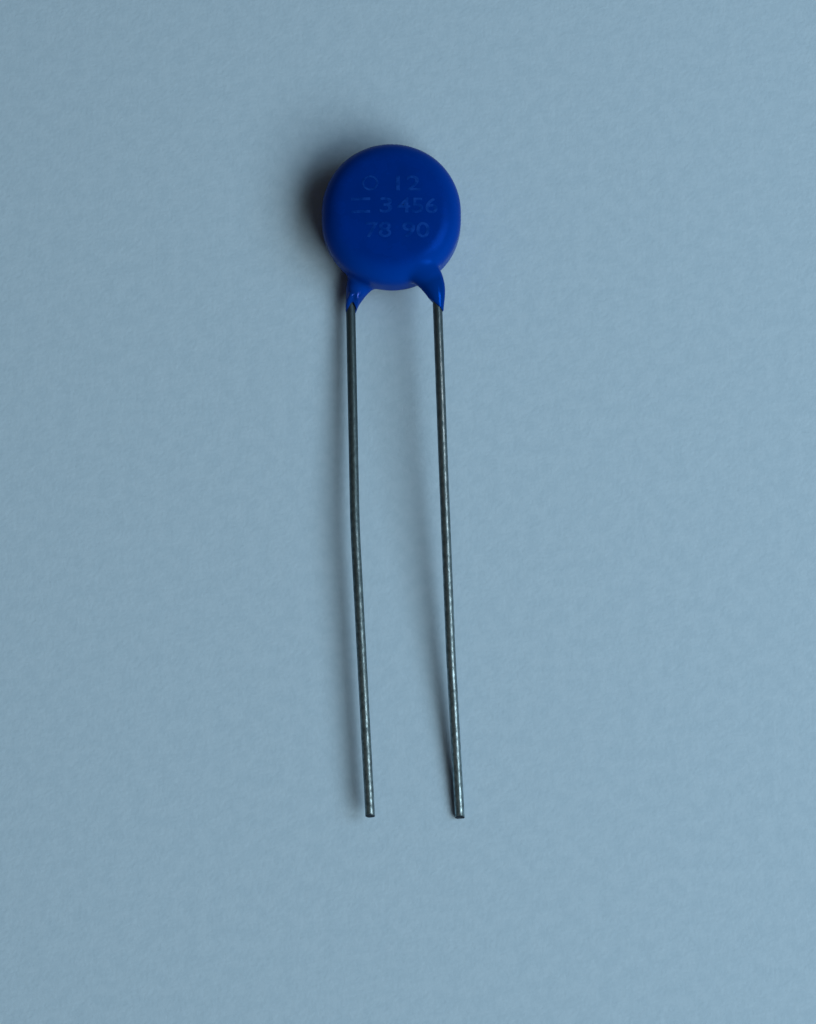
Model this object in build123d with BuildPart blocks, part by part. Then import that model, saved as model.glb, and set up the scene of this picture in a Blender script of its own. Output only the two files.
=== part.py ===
from build123d import *
from math import sqrt
import os

# A radial-leaded metal-oxide varistor: a zinc-oxide disc with a silver electrode on each face, a tinned
# wire soldered across each electrode, and one dipped epoxy coating that runs a little way down each wire.
# Millimetres, +Z up. It lies on its back with the marked face up and its leads pointing along -Y.
# The origin is the bottom centre of the whole part's box.

# Disc and electrodes
disc_diameter = 7.0
disc_thickness = 1.6
disc_edge = 0.15
electrode_diameter = 6.0
electrode_thickness = 0.02

# Wires
wire_diameter = 0.55
wire_radius = wire_diameter / 2
lead_pitch = 5.0             # between the wires where they leave the legs
lead_offset = 0.12           # how far the pair stands to the front wire's side of the disc's middle
lead_reach = 34.7            # from the middle of the disc to the cut ends
solder_film = 0.03           # solder between a wire and its electrode
wire_slope = 42.0            # degrees, how each wire crosses the disc

# Dipped body
body_width = 8.1
body_length = 8.6
body_thickness = 4.0
dome_radius = 18.0
leg_blend = 0.5              # fillet where a leg runs into the body

# Solder mounds
solder_length = 3.9
solder_width = 1.3
solder_height = 0.42
solder_taper = 35.0
solder_overrun = 0.6         # how far a mound reaches past its wire's inner end

# The middle of the disc, placed so that the origin falls at the bottom centre of the whole part
disc_x = -0.05
disc_y = (lead_reach - body_length / 2) / 2
disc_z = body_thickness / 2


def disc_plane(height):
    """A level plane over the middle of the disc, at a height above its mid-plane."""
    return Plane((disc_x, disc_y, disc_z + height))


def from_disc(x, y, z):
    """A point given from the middle of the disc in plan, and above the ground in height."""
    return Vector(disc_x + x, disc_y + y, z)


os.makedirs("parts", exist_ok=True)
inner_pieces = []

# ---------------------------------------------------------------- ceramic disc
with BuildPart() as ceramic_disc:
    with BuildSketch(disc_plane(-disc_thickness / 2)):
        Circle(disc_diameter / 2)
    extrude(amount=disc_thickness)
    chamfer(ceramic_disc.edges().filter_by(GeomType.CIRCLE), length=disc_edge)
ceramic_disc.part.label = "ceramic_disc"
export_step(ceramic_disc.part, "parts/ceramic_disc.step")
inner_pieces.append(ceramic_disc.part)

# ---------------------------------------------------------------- electrodes
for name, side in (("front_electrode", 1), ("back_electrode", -1)):
    with BuildPart() as electrode:
        with BuildSketch(disc_plane(side * disc_thickness / 2)):
            Circle(electrode_diameter / 2)
        extrude(amount=side * electrode_thickness)
    electrode.part.label = name
    export_step(electrode.part, f"parts/{name}.step")
    inner_pieces.append(electrode.part)

# ---------------------------------------------------------------- leads
# Each wire starts on its electrode, crosses the disc on the slope, turns down the leg a little past the
# disc's edge and runs on to its cut end.
face_rise = disc_thickness / 2 + electrode_thickness + solder_film + wire_radius
wire_on_front = disc_z + face_rise
wire_on_back = disc_z - face_rise

front_turn = Vector(lead_offset + lead_pitch / 2, -4.6)
back_turn = Vector(lead_offset - lead_pitch / 2, -4.35)
inward_front = Vector(-1, 0).rotate(Axis.Z, -wire_slope)
inward_back = Vector(1, 0).rotate(Axis.Z, wire_slope)
on_disc_run = 6.0            # from the turn in the leg to the wire's inner end

front_start = front_turn + inward_front * on_disc_run
back_start = back_turn + inward_back * on_disc_run

front_route = [
    from_disc(front_start.X, front_start.Y, wire_on_front),
    from_disc(front_turn.X, front_turn.Y, wire_on_front),
    from_disc(2.94, -14.0, 2.58),
    from_disc(3.38, -25.5, 1.30),
    from_disc(3.88, -lead_reach, 0.275),
]
back_route = [
    from_disc(back_start.X, back_start.Y, wire_on_back),
    from_disc(back_turn.X, back_turn.Y, wire_on_back),
    from_disc(-2.05, -18.2, 1.50),
    from_disc(-1.14, -lead_reach, 1.10),
]

with BuildPart() as front_lead:
    with BuildLine():
        route = FilletPolyline(*front_route, radius=[0.8, 30.0, 60.0])
    with BuildSketch(Plane(origin=route @ 0, z_dir=route % 0)):
        Circle(wire_radius)
    sweep()
front_lead.part.label = "front_lead"
export_step(front_lead.part, "parts/front_lead.step")

with BuildPart() as back_lead:
    with BuildLine():
        route = FilletPolyline(*back_route, radius=[0.8, 40.0])
    with BuildSketch(Plane(origin=route @ 0, z_dir=route % 0)):
        Circle(wire_radius)
    sweep()
back_lead.part.label = "back_lead"
export_step(back_lead.part, "parts/back_lead.step")

# ---------------------------------------------------------------- solder
# A low mound of solder along each wire, with the wire lying in it.
for name, side, start, inward, lead in (
    ("front_solder", 1, front_start, inward_front, front_lead),
    ("back_solder", -1, back_start, inward_back, back_lead),
):
    middle = start - inward * (solder_length / 2 - solder_overrun)
    with BuildPart() as solder:
        face = disc_plane(side * (disc_thickness / 2 + electrode_thickness))
        mound_plane = Plane(
            origin=face.origin + Vector(middle.X, middle.Y),
            x_dir=inward,
            z_dir=(0, 0, side),
        )
        with BuildSketch(mound_plane):
            SlotOverall(solder_length, solder_width)
        extrude(amount=solder_height, taper=solder_taper)
        add(lead.part, mode=Mode.SUBTRACT)
    solder.part.label = name
    export_step(solder.part, f"parts/{name}.step")
    inner_pieces.append(solder.part)

inner_pieces += [front_lead.part, back_lead.part]

# ---------------------------------------------------------------- coating
# The dipped body: two shallow domes joined by a full round rim that is tangent to both. The section runs
# straight for the little that the resin draws out along the leads, and turns half round at each end.
half_width = body_width / 2
half_draw = (body_length - body_width) / 2
rim_radius = (2 * dome_radius * disc_z - disc_z**2 - half_width**2) / (2 * (dome_radius - half_width))
dome_centre = Vector(0, disc_z - dome_radius)
rim_centre = Vector(half_width - rim_radius, 0)
shoulder = rim_centre + (rim_centre - dome_centre).normalized() * rim_radius
with BuildPart() as dipped_body:
    with BuildSketch(Plane.XZ) as half_section:
        with BuildLine():
            RadiusArc((0, disc_z), shoulder, dome_radius)
            ThreePointArc(shoulder, (half_width, 0), (shoulder.X, -shoulder.Y))
            RadiusArc((0, -disc_z), (shoulder.X, -shoulder.Y), -dome_radius)
            Line((0, disc_z), (0, -disc_z))
        make_face()
    extrude(amount=half_draw, both=True)
    mirror(about=Plane.YZ)
    for end in (1, -1):
        with BuildSketch(Plane.XZ.offset(-end * half_draw)):
            add(half_section.sketch)
        revolve(axis=Axis((0, end * half_draw, 0), (0, 0, end)), revolution_arc=180)

# Oval sections of each leg: place from the middle of the disc, heading in degrees, half breadth,
# height above the ground, half depth.
front_leg = [
    (1.20, -2.75, -48, 0.70, 2.95, 0.62),
    (1.88, -3.55, -66, 0.95, 2.96, 0.73),
    (2.30, -4.18, -75, 0.78, 3.00, 0.64),
    (2.55, -4.80, -81, 0.61, 3.05, 0.54),
    (2.66, -5.35, -86, 0.40, 3.08, 0.40),
    (2.68, -6.10, -88, 0.31, 3.04, 0.32),
]
back_leg = [
    (-0.95, -2.65, -132, 0.70, 1.05, 0.62),
    (-1.62, -3.42, -113, 0.90, 1.03, 0.73),
    (-1.95, -4.02, -104, 0.72, 0.98, 0.63),
    (-2.14, -4.56, -97, 0.54, 0.93, 0.51),
    (-2.31, -5.08, -91, 0.37, 0.91, 0.38),
    (-2.34, -5.45, -89, 0.32, 0.92, 0.32),
]

with BuildPart() as coating:
    with Locations(disc_plane(0)):
        add(dipped_body.part)
    for sections in (front_leg, back_leg):
        for x, y, heading, half_breadth, height, half_depth in sections:
            forward = Vector(1, 0).rotate(Axis.Z, heading)
            across = Vector(1, 0).rotate(Axis.Z, heading + 90)
            with BuildSketch(Plane(origin=from_disc(x, y, height), x_dir=across, z_dir=forward)):
                Ellipse(half_breadth, half_depth)
        loft()
        fillet(coating.edges(Select.NEW), leg_blend)
    # The resin lets go of the front wire on a slant, and of the back wire in a notch over its top.
    with BuildSketch(Plane(from_disc(0, 0, 0))):
        with BuildLine():
            Polyline((1.90, -4.96), (3.20, -6.20), (1.90, -6.20), close=True)
        make_face()
    extrude(amount=body_thickness, mode=Mode.SUBTRACT)
    with BuildSketch(Plane(from_disc(0, 0, wire_on_back))):
        with BuildLine():
            Polyline((-2.33, -4.62), (-2.08, -5.60), (-2.60, -5.60), close=True)
        make_face()
    extrude(amount=wire_diameter, mode=Mode.SUBTRACT)
    for piece in inner_pieces:
        add(piece, mode=Mode.SUBTRACT)
coating.part.label = "coating"
export_step(coating.part, "parts/coating.step")
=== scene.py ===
from math import asin, ceil, cos, pi, radians, sin, tan

import bmesh
import bpy
from mathutils import Matrix, Vector, noise
from mathutils.bvhtree import BVHTree


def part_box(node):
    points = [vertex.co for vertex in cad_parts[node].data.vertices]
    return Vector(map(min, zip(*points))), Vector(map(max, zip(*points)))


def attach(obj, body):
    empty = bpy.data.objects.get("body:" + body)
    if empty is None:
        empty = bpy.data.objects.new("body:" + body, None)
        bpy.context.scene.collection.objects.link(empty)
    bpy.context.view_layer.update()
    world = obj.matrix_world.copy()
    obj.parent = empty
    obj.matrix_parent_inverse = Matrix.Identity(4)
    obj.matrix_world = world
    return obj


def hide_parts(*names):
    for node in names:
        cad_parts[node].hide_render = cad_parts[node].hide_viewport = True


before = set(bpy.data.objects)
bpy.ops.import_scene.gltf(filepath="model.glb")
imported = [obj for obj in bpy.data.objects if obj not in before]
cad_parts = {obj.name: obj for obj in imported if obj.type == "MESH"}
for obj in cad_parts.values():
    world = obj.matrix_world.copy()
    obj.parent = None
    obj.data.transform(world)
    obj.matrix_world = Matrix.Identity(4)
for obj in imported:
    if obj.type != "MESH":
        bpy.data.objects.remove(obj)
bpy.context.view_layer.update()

# The pieces are shaped in millimetres and made metres at the end.
MM = 0.001

# ---------------------------------------------------------------- sizes from the frame, in millimetres
disc_low, disc_high = (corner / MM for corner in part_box("ceramic_disc"))
coat_low, coat_high = (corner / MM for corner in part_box("coating"))
disc = (disc_low + disc_high) / 2
half_width = (coat_high.x - coat_low.x) / 2
half_length = coat_high.y - disc.y
half_draw = half_length - half_width - 0.03

INK = 0.010
DOME_RADIUS = 23.0
RIM_RADIUS = 1.40
WIRE_RADIUS = 0.275
TIP_LEAN = radians(14)
half_thickness = (coat_high.z - coat_low.z - INK) / 2

# How finely the coating is fused, and how near two surfaces are where the resin runs from one into
# the other: widely between the legs and tightly on their outer sides, which start this far out.
VOXEL = 0.055
WIDE_BLEND = 0.9
TIGHT_BLEND = 0.4
OUTER_SIDE = 1.7

# How deep the surfaces are uneven, and how far apart their swells are.
RESIN_SWELLS = (0.03, 2.4)
TIN_SWELLS = (0.006, 1.3)

# Points nearer than this are one.
SAME_POINT = 0.001

# Each wire's route from the middle of the disc in plan and above the ground in height, with the
# radius of the bend at each corner between.
FRONT_ROUTE = [
    (-1.84, -0.59, 3.125),
    (2.62, -4.60, 3.125),
    (2.94, -14.00, 2.58),
    (3.38, -25.50, 1.30),
    (3.88, -34.70, 0.275),
]
FRONT_BENDS = [0.8, 30.0, 60.0]
BACK_ROUTE = [
    (2.08, -0.34, 0.875),
    (-2.38, -4.35, 0.875),
    (-2.05, -18.20, 1.50),
    (-1.14, -34.70, 1.10),
]
BACK_BENDS = [0.8, 40.0]

# Oval sections of each leg of the coating: place from the middle of the disc, heading in degrees,
# half breadth, height above the ground, half depth.
FRONT_LEG = [
    (0.55, -2.10, -46, 1.45, 2.45, 1.28),
    (1.15, -2.75, -52, 1.30, 2.56, 1.02),
    (1.75, -3.45, -63, 1.05, 2.74, 0.78),
    (2.26, -4.15, -74, 0.82, 2.93, 0.64),
    (2.54, -4.80, -81, 0.61, 3.05, 0.54),
    (2.66, -5.35, -86, 0.42, 3.08, 0.42),
    (2.68, -5.90, -88, 0.34, 3.05, 0.34),
    (2.69, -6.20, -88, 0.33, 3.03, 0.33),
]
BACK_LEG = [
    (-0.80, -2.50, -132, 0.95, 1.15, 0.80),
    (-1.55, -3.32, -115, 1.02, 1.12, 0.82),
    (-1.94, -4.00, -104, 0.76, 1.00, 0.66),
    (-2.14, -4.56, -97, 0.54, 0.93, 0.51),
    (-2.31, -5.08, -91, 0.39, 0.91, 0.40),
    (-2.34, -5.40, -89, 0.34, 0.92, 0.34),
    (-2.34, -5.50, -89, 0.33, 0.92, 0.33),
]
# The thick lips of resin beside the notch over the back wire.
LIPS = [
    [(-2.30, -4.42, -104, 0.15, 1.42, 0.13), (-2.47, -4.80, -112, 0.15, 1.34, 0.12),
     (-2.60, -5.14, -108, 0.09, 1.12, 0.10)],
    [(-2.00, -4.42, -85, 0.15, 1.41, 0.13), (-1.99, -4.78, -90, 0.15, 1.31, 0.12),
     (-2.04, -5.12, -96, 0.09, 1.10, 0.10)],
]


def mesh_object(name, bm):
    """A new object in the scene from a bmesh, which is freed."""
    mesh = bpy.data.meshes.new(name)
    bm.to_mesh(mesh)
    bm.free()
    piece = bpy.data.objects.new(name, mesh)
    bpy.context.scene.collection.objects.link(piece)
    return piece


def apply_modifiers(piece):
    """Bakes a piece's modifiers into its mesh."""
    graph = bpy.context.evaluated_depsgraph_get()
    mesh = bpy.data.meshes.new_from_object(piece.evaluated_get(graph))
    piece.modifiers.clear()
    piece.data = mesh


def to_metres(piece):
    """Turns a finished millimetre mesh into metres, smooth shaded, with its faces outwards."""
    bm = bmesh.new()
    bm.from_mesh(piece.data)
    bmesh.ops.scale(bm, vec=(MM, MM, MM), verts=bm.verts)
    bmesh.ops.recalc_face_normals(bm, faces=bm.faces)
    for face in bm.faces:
        face.smooth = True
    for edge in bm.edges:
        if len(edge.link_faces) == 2 and edge.calc_face_angle() > radians(40):
            edge.smooth = False
    bm.to_mesh(piece.data)
    bm.free()


def unevenness(piece, depth, spacing):
    """Sinks the surface by up to depth, in swells about spacing apart."""
    bm = bmesh.new()
    bm.from_mesh(piece.data)
    bm.normal_update()
    sink = [(noise.noise(vert.co / spacing) - 1) / 2 * depth for vert in bm.verts]
    for vert, amount in zip(bm.verts, sink):
        vert.co += vert.normal * amount
    bm.to_mesh(piece.data)
    bm.free()


# ---------------------------------------------------------------- coating
def dipped_body():
    """The drum of resin round the disc: a half section spun half round, mirrored and bridged."""
    bm = bmesh.new()
    rim_centre_x = half_width - RIM_RADIUS
    lean = asin(rim_centre_x / (DOME_RADIUS - RIM_RADIUS))
    dome_centre_z = half_thickness - DOME_RADIUS
    rim_centre_z = dome_centre_z + (DOME_RADIUS - RIM_RADIUS) * cos(lean)
    pole = bm.verts.new((0, 0, half_thickness))
    dome = bmesh.ops.spin(bm, geom=[pole], cent=(0, 0, dome_centre_z), axis=(0, 1, 0), angle=lean, steps=14)
    rim_start = next(part for part in dome["geom_last"] if isinstance(part, bmesh.types.BMVert))
    rim = bmesh.ops.spin(bm, geom=[rim_start], cent=(rim_centre_x, 0, rim_centre_z), axis=(0, 1, 0),
                         angle=pi / 2 - lean, steps=12)
    rim_end = next(part for part in rim["geom_last"] if isinstance(part, bmesh.types.BMVert))
    waist = bm.verts.new((rim_end.co.x, 0, 0))
    bm.edges.new((rim_end, waist))
    bmesh.ops.mirror(bm, geom=bm.verts[:] + bm.edges[:], axis="Z", merge_dist=SAME_POINT)
    bmesh.ops.spin(bm, geom=bm.verts[:] + bm.edges[:], cent=(0, 0, 0), axis=(0, 0, 1), angle=pi, steps=64)
    bmesh.ops.remove_doubles(bm, verts=bm.verts, dist=SAME_POINT)
    bmesh.ops.translate(bm, vec=(0, half_draw, 0), verts=bm.verts)
    bmesh.ops.mirror(bm, geom=bm.verts[:] + bm.edges[:] + bm.faces[:], axis="Y", merge_dist=SAME_POINT)
    bmesh.ops.bridge_loops(bm, edges=[edge for edge in bm.edges if edge.is_boundary])
    bmesh.ops.recalc_face_normals(bm, faces=bm.faces)
    bmesh.ops.translate(bm, vec=(disc.x, disc.y, half_thickness), verts=bm.verts)
    return bm


def leg(stations):
    """One leg of resin: oval rings bridged into a tube and closed at both ends."""
    bm = bmesh.new()
    rings = []
    for x, y, heading, wide, height, tall in stations:
        turn = Matrix.Rotation(radians(heading - 90), 4, "Z") @ Matrix.Rotation(radians(90), 4, "X")
        place = Matrix.Translation((disc.x + x, disc.y + y, height)) @ turn
        shape = place @ Matrix.Diagonal((wide, tall, 1, 1))
        ring = bmesh.ops.create_circle(bm, cap_ends=False, segments=24, radius=1, matrix=shape)
        rings.append([edge for edge in bm.edges if all(v in ring["verts"] for v in edge.verts)])
    for first, second in zip(rings, rings[1:]):
        bmesh.ops.bridge_loops(bm, edges=first + second)
    bmesh.ops.holes_fill(bm, edges=[edge for edge in bm.edges if edge.is_boundary])
    bmesh.ops.recalc_face_normals(bm, faces=bm.faces)
    return bm


def wedge(apex, left, right, bottom, top):
    """A cutter of three corners in plan, standing between two heights."""
    bm = bmesh.new()
    corners = [bm.verts.new((disc.x + x, disc.y + y, bottom)) for x, y in (apex, left, right)]
    base = bm.faces.new(corners)
    raised = bmesh.ops.extrude_face_region(bm, geom=[base])["geom"]
    upper = [part for part in raised if isinstance(part, bmesh.types.BMVert)]
    bmesh.ops.translate(bm, vec=(0, 0, top - bottom), verts=upper)
    bmesh.ops.recalc_face_normals(bm, faces=bm.faces)
    return bm


def cut(piece, cutter):
    """Takes a cutter out of a piece and discards it."""
    taken = piece.modifiers.new("taken", "BOOLEAN")
    taken.operation = "DIFFERENCE"
    taken.solver = "EXACT"
    taken.object = cutter
    apply_modifiers(piece)
    bpy.data.objects.remove(cutter)


def surface(piece):
    """A piece's surface, to find the nearest point of it or to drop a mark on it."""
    return BVHTree.FromObject(piece, bpy.context.evaluated_depsgraph_get())


def coating():
    """The dipped skin: the drum, its two legs and the lips, fused and smoothed where they meet."""
    body = mesh_object("coating_skin", dipped_body())
    legs = [mesh_object("leg", leg(stations)) for stations in (FRONT_LEG, BACK_LEG)]
    for limb in legs:
        rounded = limb.modifiers.new("rounded", "SUBSURF")
        rounded.levels = rounded.render_levels = 2
        apply_modifiers(limb)
    # The resin lets go of the front wire on a slant, and of the back wire in a notch over its top.
    cut(legs[0], mesh_object("slant", wedge((1.90, -4.96), (1.90, -6.60), (3.60, -6.60), 2.0, 4.0)))
    cut(legs[1], mesh_object("notch", wedge((-2.26, -4.84), (-2.76, -5.70), (-1.80, -5.70), 0.90, 2.0)))

    shapes = [surface(piece) for piece in [body] + legs]
    lips = [mesh_object("lip", leg(stations)) for stations in LIPS]
    bm = bmesh.new()
    for source in [body] + legs + lips:
        bm.from_mesh(source.data)
    for limb in legs + lips:
        bpy.data.objects.remove(limb)
    bm.to_mesh(body.data)
    bm.free()
    fused = body.modifiers.new("fused", "REMESH")
    fused.mode = "VOXEL"
    fused.voxel_size = VOXEL
    apply_modifiers(body)

    # Where a leg meets the body both surfaces are near, and the resin runs smoothly across.
    blend = body.vertex_groups.new(name="blend")
    for vertex in body.data.vertices:
        to_body, *to_legs = (shape.find_nearest(vertex.co)[3] for shape in shapes)
        gap = max(to_body, min(to_legs))
        outer = min(1, max(0, abs(vertex.co.x - disc.x) - OUTER_SIDE))
        reach = WIDE_BLEND + (TIGHT_BLEND - WIDE_BLEND) * outer
        if gap < reach:
            blend.add([vertex.index], 1 - gap / reach, "REPLACE")
    for name, iterations, where in (("blended", 150, "blend"), ("softened", 6, "")):
        smoothed = body.modifiers.new(name, "SMOOTH")
        smoothed.factor = 0.5
        smoothed.iterations = iterations
        smoothed.vertex_group = where
    apply_modifiers(body)
    body.vertex_groups.clear()
    return body


# ---------------------------------------------------------------- leads
def straight_run(bm, ring, start, end):
    """Draws a ring of edges out along a straight run, and gives the ring at its end."""
    steps = max(1, ceil((end - start).length / 0.25))
    for _ in range(steps):
        grown = bmesh.ops.extrude_edge_only(bm, edges=ring)["geom"]
        verts = [part for part in grown if isinstance(part, bmesh.types.BMVert)]
        bmesh.ops.translate(bm, verts=verts, vec=(end - start) / steps)
        ring = [part for part in grown if isinstance(part, bmesh.types.BMEdge)
                and all(v in verts for v in part.verts)]
    return ring


def wire(route, bends):
    """A round wire along straight runs joined by tangent bends, with its tip sheared off."""
    bm = bmesh.new()
    points = [Vector((disc.x + x, disc.y + y, z)) for x, y, z in route]
    here, heading = points[0], (points[1] - points[0]).normalized()
    place = Matrix.Translation(here) @ heading.to_track_quat("Z", "Y").to_matrix().to_4x4()
    bmesh.ops.create_circle(bm, cap_ends=False, segments=40, radius=WIRE_RADIUS, matrix=place)
    ring = bm.edges[:]
    for corner, after, radius in zip(points[1:], points[2:], bends):
        leaving = (after - corner).normalized()
        turn = heading.angle(leaving)
        bend_start = corner - heading * radius * tan(turn / 2)
        ring = straight_run(bm, ring, here, bend_start)
        axis = heading.cross(leaving).normalized()
        spun = bmesh.ops.spin(bm, geom=ring, cent=bend_start + axis.cross(heading) * radius, axis=axis,
                              angle=turn, steps=max(2, ceil(turn * radius / 0.2)))
        ring = [part for part in spun["geom_last"] if isinstance(part, bmesh.types.BMEdge)]
        here, heading = corner + leaving * radius * tan(turn / 2), leaving
    straight_run(bm, ring, here, points[-1])
    bmesh.ops.remove_doubles(bm, verts=bm.verts, dist=SAME_POINT / 2)
    # The cutters left the tip leaning back, so its face is turned up a little.
    bmesh.ops.bisect_plane(bm, geom=bm.verts[:] + bm.edges[:] + bm.faces[:], dist=0.0001,
                           plane_co=points[-1] - Vector((0, 0, WIRE_RADIUS)),
                           plane_no=(0, -cos(TIP_LEAN), sin(TIP_LEAN)), clear_outer=True)
    ends = bmesh.ops.holes_fill(bm, edges=[edge for edge in bm.edges if edge.is_boundary])["faces"]
    for end in ends:
        end.material_index = 1
    rims = {edge for end in ends for edge in end.edges}
    bmesh.ops.bevel(bm, geom=list(rims), offset=0.015, offset_type="OFFSET", segments=2, profile=0.5,
                    affect="EDGES", material=-1)
    return bm


# ---------------------------------------------------------------- marking
# Plain figures and shapes in three rows. Each has its left side, its right side and the middle of
# its row, from the middle of the disc.
MARKS = [
    ("ring", -1.66, -0.74, 1.45),
    ("12", 0.29, 1.68, 1.45),
    ("bars", -2.30, -1.20, 0.11),
    ("3", -0.66, 0.06, 0.11),
    ("456", 0.35, 2.66, 0.11),
    ("78", -1.45, 0.00, -1.35),
    ("90", 0.64, 2.20, -1.35),
]
MARK_HEIGHT = 0.92
MARK_CELL = 0.12
RING_BORE = 0.76
BAR_PLACE = 0.84
BAR_HALF_WIDTH = 0.18


def figures(text):
    """Flat figures, a little bolder than the plain face, as a bmesh."""
    curve = bpy.data.curves.new("figures", "FONT")
    curve.body = text
    curve.resolution_u = 6
    curve.offset = 0.010
    writing = bpy.data.objects.new("figures", curve)
    bpy.context.scene.collection.objects.link(writing)
    bpy.context.view_layer.update()
    flat = bpy.data.meshes.new_from_object(writing.evaluated_get(bpy.context.evaluated_depsgraph_get()))
    bpy.data.objects.remove(writing)
    bm = bmesh.new()
    bm.from_mesh(flat)
    return bm


def plain_shape(kind):
    """A thin ring, or a pair of bars one above the other, as flat shapes of radius or half length 1."""
    bm = bmesh.new()
    if kind == "ring":
        loops = []
        for radius in (1.0, RING_BORE):
            circle = bmesh.ops.create_circle(bm, cap_ends=False, segments=40, radius=radius)["verts"]
            loops += [edge for edge in bm.edges if all(v in circle for v in edge.verts)]
        bmesh.ops.bridge_loops(bm, edges=loops)
    else:
        for height in (-BAR_PLACE, BAR_PLACE):
            place = Matrix.Translation((0, height, 0)) @ Matrix.Diagonal((1, BAR_HALF_WIDTH, 1, 1))
            bmesh.ops.create_grid(bm, x_segments=1, y_segments=1, size=1, matrix=place)
    return bm


def lay_on(bm, shape, left, right, row):
    """Fits a flat mark to its place, lays it on a surface and gives it the ink's depth.

    It is cut into small cells first, so that it follows the surface's curve.
    """
    low = Vector([min(vert.co[axis] for vert in bm.verts) for axis in range(3)])
    high = Vector([max(vert.co[axis] for vert in bm.verts) for axis in range(3)])
    stretch = Matrix.Diagonal(((right - left) / (high.x - low.x), MARK_HEIGHT / (high.y - low.y), 1, 1))
    corner = Vector((disc.x + left, disc.y + row - MARK_HEIGHT / 2, 0))
    fit = Matrix.Translation(corner) @ stretch @ Matrix.Translation(-low)
    bmesh.ops.transform(bm, matrix=fit, verts=bm.verts)
    for axis, length in ((0, right - left), (1, MARK_HEIGHT)):
        for step in range(1, ceil(length / MARK_CELL)):
            cut_at = corner.copy()
            cut_at[axis] += step * MARK_CELL
            across = Vector((1, 0, 0)) if axis == 0 else Vector((0, 1, 0))
            everything = bm.verts[:] + bm.edges[:] + bm.faces[:]
            bmesh.ops.bisect_plane(bm, geom=everything, dist=0.0001, plane_co=cut_at, plane_no=across)
    for vert in bm.verts:
        above = Vector((vert.co.x, vert.co.y, 2 * coat_high.z))
        vert.co = shape.ray_cast(above, Vector((0, 0, -1)))[0]
        vert.co.z -= INK / 2
    raised = bmesh.ops.extrude_face_region(bm, geom=bm.faces[:])["geom"]
    upper = [part for part in raised if isinstance(part, bmesh.types.BMVert)]
    bmesh.ops.translate(bm, vec=(0, 0, INK * 1.4), verts=upper)
    return bm


def marking(skin):
    """All the marks as one piece on the face."""
    shape = surface(skin)
    together = bmesh.new()
    for mark, left, right, row in MARKS:
        flat = figures(mark) if mark.isdigit() else plain_shape(mark)
        laid = lay_on(flat, shape, left, right, row)
        mesh = bpy.data.meshes.new(mark)
        laid.to_mesh(mesh)
        laid.free()
        together.from_mesh(mesh)
    return mesh_object("face_marking", together)


# ---------------------------------------------------------------- materials
def linear(red, green, blue):
    """A screen colour, 0 to 255, as scene-linear numbers."""
    def curve(level):
        level /= 255
        return level / 12.92 if level <= 0.04045 else ((level + 0.055) / 1.055) ** 2.4
    return (curve(red), curve(green), curve(blue), 1)


def put(tree, kind, inputs, **settings):
    """Adds a node: each input is given a value, or another node's output that feeds it."""
    added = tree.nodes.new(kind)
    for setting, value in settings.items():
        setattr(added, setting, value)
    for socket, value in inputs.items():
        if isinstance(value, bpy.types.NodeSocket):
            tree.links.new(value, added.inputs[socket])
        else:
            added.inputs[socket].default_value = value
    return added


def group(name, inputs, outputs):
    """A shader node group with its named sockets, and the two ends to join its nodes to."""
    tree = bpy.data.node_groups.new(name, "ShaderNodeTree")
    for label, kind in inputs:
        tree.interface.new_socket(label, in_out="INPUT", socket_type="NodeSocket" + kind)
    for label, kind in outputs:
        tree.interface.new_socket(label, in_out="OUTPUT", socket_type="NodeSocket" + kind)
    return tree, tree.nodes.new("NodeGroupInput").outputs, tree.nodes.new("NodeGroupOutput").inputs


def patchy_tone():
    """Two colours that run into each other in soft patches, with a roughness for each."""
    tree, given, result = group(
        "patchy_tone",
        (("Position", "Vector"), ("Scale", "Float"), ("Dark", "Color"), ("Light", "Color"),
         ("Dark Roughness", "Float"), ("Light Roughness", "Float")),
        (("Colour", "Color"), ("Roughness", "Float"), ("Patches", "Float")))
    cloud = put(tree, "ShaderNodeTexNoise",
                {"Vector": given["Position"], "Scale": given["Scale"], "Detail": 5.0, "Roughness": 0.6})
    patches = put(tree, "ShaderNodeMapRange",
                  {"Value": cloud.outputs[0], "From Min": 0.34, "From Max": 0.66},
                  interpolation_type="SMOOTHSTEP").outputs[0]
    tone = put(tree, "ShaderNodeMix", {0: patches, 6: given["Dark"], 7: given["Light"]}, data_type="RGBA")
    rough = put(tree, "ShaderNodeMapRange",
                {"Value": patches, "To Min": given["Dark Roughness"], "To Max": given["Light Roughness"]})
    tree.links.new(tone.outputs[2], result["Colour"])
    tree.links.new(rough.outputs[0], result["Roughness"])
    tree.links.new(patches, result["Patches"])
    return tree


def fine_relief():
    """A bumped normal from a broad swell and a fine grain, their depths in millimetres."""
    tree, given, result = group(
        "fine_relief",
        (("Position", "Vector"), ("Broad Scale", "Float"), ("Broad Depth", "Float"),
         ("Fine Scale", "Float"), ("Fine Depth", "Float")),
        (("Normal", "Vector"),))
    height = 0.0
    for size in ("Broad", "Fine"):
        swell = put(tree, "ShaderNodeTexNoise",
                    {"Vector": given["Position"], "Scale": given[size + " Scale"],
                     "Detail": 2.0, "Roughness": 0.5})
        height = put(tree, "ShaderNodeMath", {0: swell.outputs[0], 1: given[size + " Depth"], 2: height},
                     operation="MULTIPLY_ADD").outputs[0]
    bump = put(tree, "ShaderNodeBump", {"Height": height, "Distance": MM})
    tree.links.new(bump.outputs[0], result["Normal"])
    return tree


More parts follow.
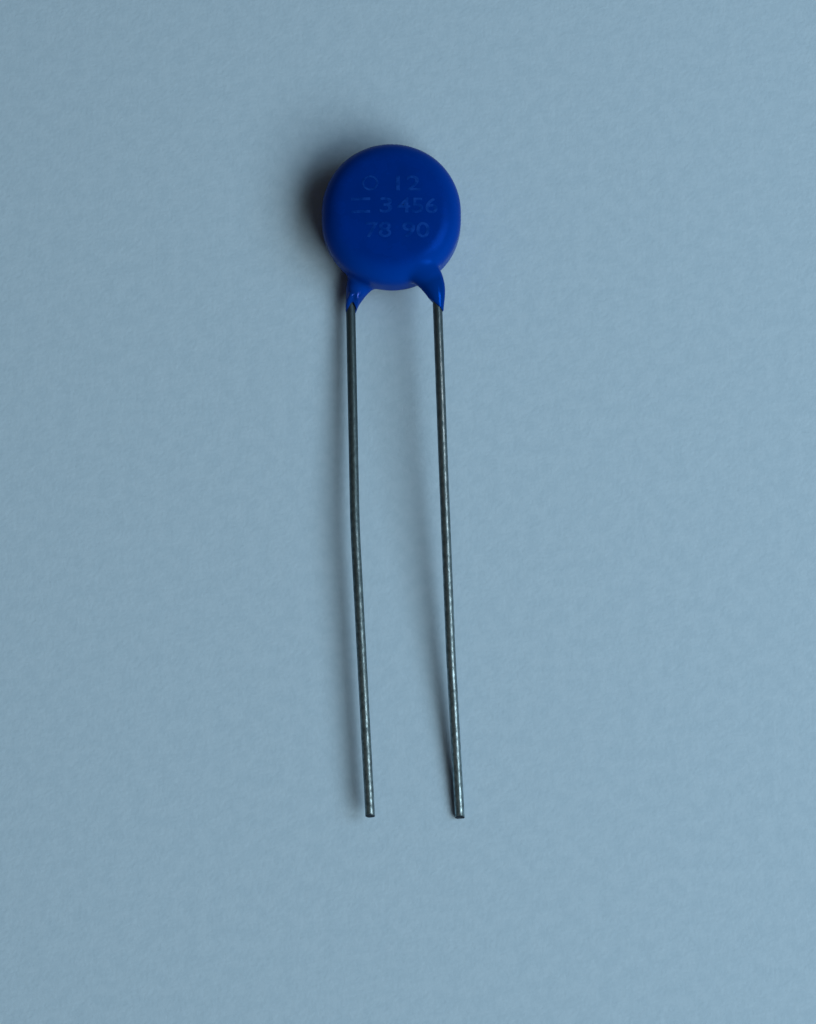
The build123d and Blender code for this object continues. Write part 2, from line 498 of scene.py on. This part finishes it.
def other_finish():
    """Another colour and roughness, let in where a mask is 1."""
    tree, given, result = group(
        "other_finish",
        (("Colour", "Color"), ("Roughness", "Float"), ("Mask", "Float"),
         ("Other Colour", "Color"), ("Other Roughness", "Float")),
        (("Colour", "Color"), ("Roughness", "Float")))
    colour = put(tree, "ShaderNodeMix", {0: given["Mask"], 6: given["Colour"], 7: given["Other Colour"]},
                 data_type="RGBA")
    rough = put(tree, "ShaderNodeMix",
                {0: given["Mask"], 2: given["Roughness"], 3: given["Other Roughness"]}, data_type="FLOAT")
    tree.links.new(colour.outputs[2], result["Colour"])
    tree.links.new(rough.outputs[0], result["Roughness"])
    return tree


def broken_gloss():
    """How much clear gloss lies on a finish: where a mask is 1, and by its patches."""
    tree, given, result = group(
        "broken_gloss",
        (("Patches", "Float"), ("Mask", "Float"), ("On Dark", "Float"), ("On Light", "Float")),
        (("Gloss", "Float"),))
    share = put(tree, "ShaderNodeMapRange",
                {"Value": given["Patches"], "To Min": given["On Dark"], "To Max": given["On Light"]})
    gloss = put(tree, "ShaderNodeMath", {0: share.outputs[0], 1: given["Mask"]}, operation="MULTIPLY")
    tree.links.new(gloss.outputs[0], result["Gloss"])
    return tree


def round_axis():
    """A mask that goes from 0 to 1 between two distances, in millimetres, from an upright axis."""
    tree, given, result = group(
        "round_axis",
        (("Position", "Vector"), ("Axis", "Vector"), ("At 0", "Float"), ("At 1", "Float")),
        (("Mask", "Float"),))
    across = put(tree, "ShaderNodeVectorMath", {0: given["Position"], 1: given["Axis"]},
                 operation="SUBTRACT")
    in_plan = put(tree, "ShaderNodeVectorMath", {0: across.outputs[0], 1: (1 / MM, 1 / MM, 0)},
                  operation="MULTIPLY")
    distance = put(tree, "ShaderNodeVectorMath", {0: in_plan.outputs[0]}, operation="LENGTH")
    mask = put(tree, "ShaderNodeMapRange",
               {"Value": distance.outputs["Value"], "From Min": given["At 0"], "From Max": given["At 1"]},
               interpolation_type="SMOOTHSTEP")
    tree.links.new(mask.outputs[0], result["Mask"])
    return tree


# The leads' finish changes between these two places along the part, in millimetres.
LEADS_TIP = -18
LEADS_ROOT = 9


def along_wire():
    """A mask along the leads, from its value at their tips to its value at the resin."""
    tree, given, result = group(
        "along_wire",
        (("Position", "Vector"), ("Tip", "Float"), ("Root", "Float")),
        (("Mask", "Float"),))
    along = put(tree, "ShaderNodeSeparateXYZ", {0: given["Position"]})
    mask = put(tree, "ShaderNodeMapRange",
               {"Value": along.outputs["Y"], "From Min": LEADS_TIP * MM, "From Max": LEADS_ROOT * MM,
                "To Min": given["Tip"], "To Max": given["Root"]})
    tree.links.new(mask.outputs[0], result["Mask"])
    return tree


PATCHY_TONE = patchy_tone()
FINE_RELIEF = fine_relief()
OTHER_FINISH = other_finish()
BROKEN_GLOSS = broken_gloss()
ROUND_AXIS = round_axis()
ALONG_WIRE = along_wire()


def finish(name, dark, light, tone_scale, roughness, relief, metallic=0.0, stretch=(1, 1, 1)):
    """A material with a patchy tone, roughness that goes with the patches, and a fine relief.

    roughness is for the dark patches and for the light ones; relief is the broad scale and depth,
    then the fine scale and depth. Scales are per millimetre and depths in millimetres.
    """
    made = bpy.data.materials.new(name)
    made.use_nodes = True
    tree = made.node_tree
    shader = tree.nodes["Principled BSDF"]
    shader.inputs["Metallic"].default_value = metallic
    place = put(tree, "ShaderNodeTexCoord", {})
    place.name = "place"
    position = put(tree, "ShaderNodeVectorMath",
                   {0: place.outputs["Object"], 1: [share / MM for share in stretch]},
                   operation="MULTIPLY").outputs[0]
    tone = put(tree, "ShaderNodeGroup",
               {"Position": position, "Scale": tone_scale, "Dark": linear(*dark), "Light": linear(*light),
                "Dark Roughness": roughness[0], "Light Roughness": roughness[1]},
               node_tree=PATCHY_TONE)
    tone.name = "tone"
    relief_made = put(tree, "ShaderNodeGroup",
                      {"Position": position, "Broad Scale": relief[0], "Broad Depth": relief[1],
                       "Fine Scale": relief[2], "Fine Depth": relief[3]},
                      node_tree=FINE_RELIEF)
    tree.links.new(tone.outputs["Colour"], shader.inputs["Base Color"])
    tree.links.new(tone.outputs["Roughness"], shader.inputs["Roughness"])
    tree.links.new(relief_made.outputs["Normal"], shader.inputs["Normal"])
    return made


def mask_in(made, kind, inputs):
    """Places one of the mask groups in a material, and gives its mask."""
    tree = made.node_tree
    return put(tree, "ShaderNodeGroup", {"Position": tree.nodes["place"].outputs["Object"], **inputs},
               node_tree=kind).outputs["Mask"]


def let_in(made, mask, colour, roughness):
    """Lets another colour and roughness into a material where a mask is 1."""
    tree = made.node_tree
    shader = tree.nodes["Principled BSDF"]
    before = {name: shader.inputs[name].links[0].from_socket for name in ("Base Color", "Roughness")}
    other = put(tree, "ShaderNodeGroup",
                {"Colour": before["Base Color"], "Roughness": before["Roughness"], "Mask": mask,
                 "Other Colour": linear(*colour), "Other Roughness": roughness},
                node_tree=OTHER_FINISH)
    tree.links.new(other.outputs["Colour"], shader.inputs["Base Color"])
    tree.links.new(other.outputs["Roughness"], shader.inputs["Roughness"])


GLAZE_ROUGHNESS = 0.08


def glaze(made, mask, on_dark, on_light):
    """Lays a thin clear gloss on a material where a mask is 1, broken up by its own patches."""
    tree = made.node_tree
    gloss = put(tree, "ShaderNodeGroup",
                {"Patches": tree.nodes["tone"].outputs["Patches"], "Mask": mask,
                 "On Dark": on_dark, "On Light": on_light},
                node_tree=BROKEN_GLOSS)
    shader = tree.nodes["Principled BSDF"]
    tree.links.new(gloss.outputs["Gloss"], shader.inputs["Coat Weight"])
    shader.inputs["Coat Roughness"].default_value = GLAZE_ROUGHNESS


resin_blue = finish("resin_blue", (0, 35, 114), (0, 38, 123), 0.35, (0.24, 0.30), (0.8, 0.005, 2.6, 0.001))
marking_ink = finish("marking_ink", (0, 38, 116), (12, 53, 135), 2.5, (0.35, 0.5), (0.8, 0.004, 9.0, 0.002))

# The resin's gloss is blue: a trace of metal tints it, and the clear part of it is weak and tinted too.
RESIN_METALLIC = 0.10
for coloured in (resin_blue, marking_ink):
    gloss = coloured.node_tree.nodes["Principled BSDF"].inputs
    gloss["Metallic"].default_value = RESIN_METALLIC
    gloss["Specular IOR Level"].default_value = 0.03
    gloss["Specular Tint"].default_value = (0.14, 0.52, 1.0, 1)

# Past the disc's edge the resin is painted lighter, a painted light for the light its curved rim catches,
# and the leg ends stay painted lighter too. Down the legs it drew out smooth, with the most gloss round the
# notch.
disc_axis = (disc.x * MM, disc.y * MM, 0)
notch_axis = ((disc.x - 2.25) * MM, (disc.y - 4.75) * MM, 0)
# Each band lets in a lighter painted blue: painted light on the rim and on the legs.
for at_0, at_1, colour, roughness in ((2.9, 4.2, (0, 48, 138), 0.24), (4.3, 5.0, (0, 46, 130), 0.13)):
    painted_light_band = mask_in(resin_blue, ROUND_AXIS, {"Axis": disc_axis, "At 0": at_0, "At 1": at_1})
    let_in(resin_blue, painted_light_band, colour, roughness)
near_notch = mask_in(resin_blue, ROUND_AXIS, {"Axis": notch_axis, "At 0": 1.1, "At 1": 0.6})
glaze(resin_blue, near_notch, 0.25, 0.35)
resin_tree = resin_blue.node_tree
leg_ends = mask_in(resin_blue, ROUND_AXIS, {"Axis": disc_axis, "At 0": 4.6, "At 1": 5.0})
leg_metallic = put(resin_tree, "ShaderNodeMapRange",
                   {"Value": leg_ends, "To Min": RESIN_METALLIC, "To Max": 0.28})
resin_tree.links.new(leg_metallic.outputs[0], resin_tree.nodes["Principled BSDF"].inputs["Metallic"])

# The tin is painted darker towards the resin, a painted shade for its weaker reflections there, so it is
# brightest at the leads' tips; it is also rougher near the resin. The front wire keeps a thin line of
# gloss all the way, and the back one loses it.
lit_bright_tin = finish("lit_bright_tin", (88, 112, 120), (124, 153, 162), 5.0, (0.46, 0.28),
                    (1.4, 0.010, 8.0, 0.014), metallic=0.85, stretch=(1, 0.6, 1))
# The back wire's tin is a shaded copy of the front wire's: its colours are painted a little darker, a
# painted shade, and it is rougher.
shaded_dull_tin = finish("shaded_dull_tin", (80, 102, 110), (114, 142, 150), 5.0, (0.52, 0.38),
                  (1.4, 0.010, 8.0, 0.014), metallic=0.85, stretch=(1, 0.6, 1))
for tin, root_gloss in ((lit_bright_tin, 1.0), (shaded_dull_tin, 0.0)):
    # painted shade: a darker tin colour let in towards the resin
    let_in(tin, mask_in(tin, ALONG_WIRE, {"Tip": 0.0, "Root": 0.9}), (56, 76, 84), 0.50)
    glaze(tin, mask_in(tin, ALONG_WIRE, {"Tip": 0.7, "Root": root_gloss}), 0.2, 1.0)
    tin.node_tree.nodes["Principled BSDF"].inputs["Coat IOR"].default_value = 1.6

# The cut ends' colour is painted dark, a painted shade for the dark they reflect.
shaded_sheared_core = finish("shaded_sheared_core", (30, 36, 46), (60, 66, 74), 4.0, (0.6, 0.45),
                      (3.0, 0.02, 14.0, 0.006), metallic=1.0, stretch=(0.3, 1, 1))
zinc_oxide = finish("zinc_oxide", (64, 64, 62), (92, 92, 88), 9.0, (0.85, 0.62), (2.0, 0.01, 24.0, 0.008))
fired_silver = finish("fired_silver", (182, 180, 172), (222, 220, 214), 3.0, (0.55, 0.38),
                      (1.5, 0.004, 16.0, 0.004), metallic=1.0)
soft_solder = finish("soft_solder", (128, 131, 132), (184, 186, 186), 2.2, (0.48, 0.22),
                     (1.2, 0.03, 8.0, 0.004), metallic=1.0)
pale_paper = finish("pale_paper", (128, 161, 185), (132, 165, 189), 1.3, (0.95, 0.85),
                    (0.9, 0.012, 4.2, 0.020))

# ---------------------------------------------------------------- the pieces
skin = coating()
unevenness(skin, *RESIN_SWELLS)
marks = marking(skin)
for piece, finish_of_piece in ((skin, resin_blue), (marks, marking_ink)):
    to_metres(piece)
    piece.data.materials.append(finish_of_piece)
    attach(piece, "root")
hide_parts("coating")

for name, route, bends, tin in (
    ("front", FRONT_ROUTE, FRONT_BENDS, lit_bright_tin),
    ("back", BACK_ROUTE, BACK_BENDS, shaded_dull_tin),
):
    lead = mesh_object(f"{name}_wire", wire(route, bends))
    unevenness(lead, *TIN_SWELLS)
    to_metres(lead)
    lead.data.materials.append(tin)
    lead.data.materials.append(shaded_sheared_core)
    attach(lead, "root")
    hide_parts(f"{name}_lead")

for node, finish_of_node in (
    ("ceramic_disc", zinc_oxide),
    ("front_electrode", fired_silver),
    ("back_electrode", fired_silver),
    ("front_solder", soft_solder),
    ("back_solder", soft_solder),
):
    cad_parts[node].data.materials.clear()
    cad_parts[node].data.materials.append(finish_of_node)

# ---------------------------------------------------------------- floor, camera and light, in metres
FLOOR_HALF = 0.5
CAMERA_DISTANCE = 0.160
CAMERA_TILT = radians(12)
SEEN_LENGTH = 0.05885

paper = bmesh.new()
bmesh.ops.create_grid(paper, x_segments=1, y_segments=1, size=FLOOR_HALF)
floor = mesh_object("paper_floor", paper)
floor.data.materials.append(pale_paper)

aim = Vector((disc.x + 0.966, disc.y - 17.056, 0)) * MM
camera = bpy.data.objects.new("camera", bpy.data.cameras.new("camera"))
bpy.context.scene.collection.objects.link(camera)
camera.data.lens = camera.data.sensor_width * CAMERA_DISTANCE / SEEN_LENGTH
camera.data.clip_start = 0.005
camera.data.clip_end = 10
camera.location = aim + Vector((0, -sin(CAMERA_TILT), cos(CAMERA_TILT))) * CAMERA_DISTANCE
camera.rotation_euler = (CAMERA_TILT, 0, 0)
bpy.context.scene.camera = camera


def area_light(name, azimuth, elevation, distance, width, length, power, colour):
    """A rectangular lamp that faces the part, from a direction given in degrees."""
    lamp = bpy.data.lights.new(name, "AREA")
    lamp.shape = "RECTANGLE"
    lamp.size = width
    lamp.size_y = length
    lamp.energy = power
    lamp.color = colour
    obj = bpy.data.objects.new(name, lamp)
    bpy.context.scene.collection.objects.link(obj)
    a, e = radians(azimuth), radians(elevation)
    out = Vector((cos(e) * cos(a), cos(e) * sin(a), sin(e)))
    obj.location = out * distance
    obj.rotation_euler = out.to_track_quat("Z", "Y").to_euler()
    return obj


# The window lights the part from the right, and the gloss on it is the window's. The lamp in the room
# is wider and softer, and isn't seen in the gloss.
area_light("window", -2, 49, 0.2, 0.10, 0.115, 0.195, (0.88, 0.95, 1))
area_light("window_side", 22, 48, 0.3, 0.10, 0.08, 0.035, (0.88, 0.95, 1))
room_lamp = area_light("room_lamp", -47, 41, 0.8, 0.46, 0.46, 6.9, (1, 0.93, 0.84))
room_lamp.visible_glossy = False

world = bpy.data.worlds.new("room")
bpy.context.scene.world = world
world.use_nodes = True
room = world.node_tree
dim_room = room.nodes["Background"]
dim_room.inputs["Color"].default_value = (1, 0.76, 0.68, 1)
dim_room.inputs["Strength"].default_value = 0.07
# Past the paper's edge the camera sees a plain backdrop near the paper's own tone.
backdrop = put(room, "ShaderNodeBackground", {"Color": linear(112, 135, 150), "Strength": 1.0})
seen = put(room, "ShaderNodeLightPath", {})
both = put(room, "ShaderNodeMixShader",
           {0: seen.outputs["Is Camera Ray"], 1: dim_room.outputs[0], 2: backdrop.outputs[0]})
room.links.new(both.outputs[0], room.nodes["World Output"].inputs["Surface"])

bpy.context.scene.view_settings.view_transform = "Standard"
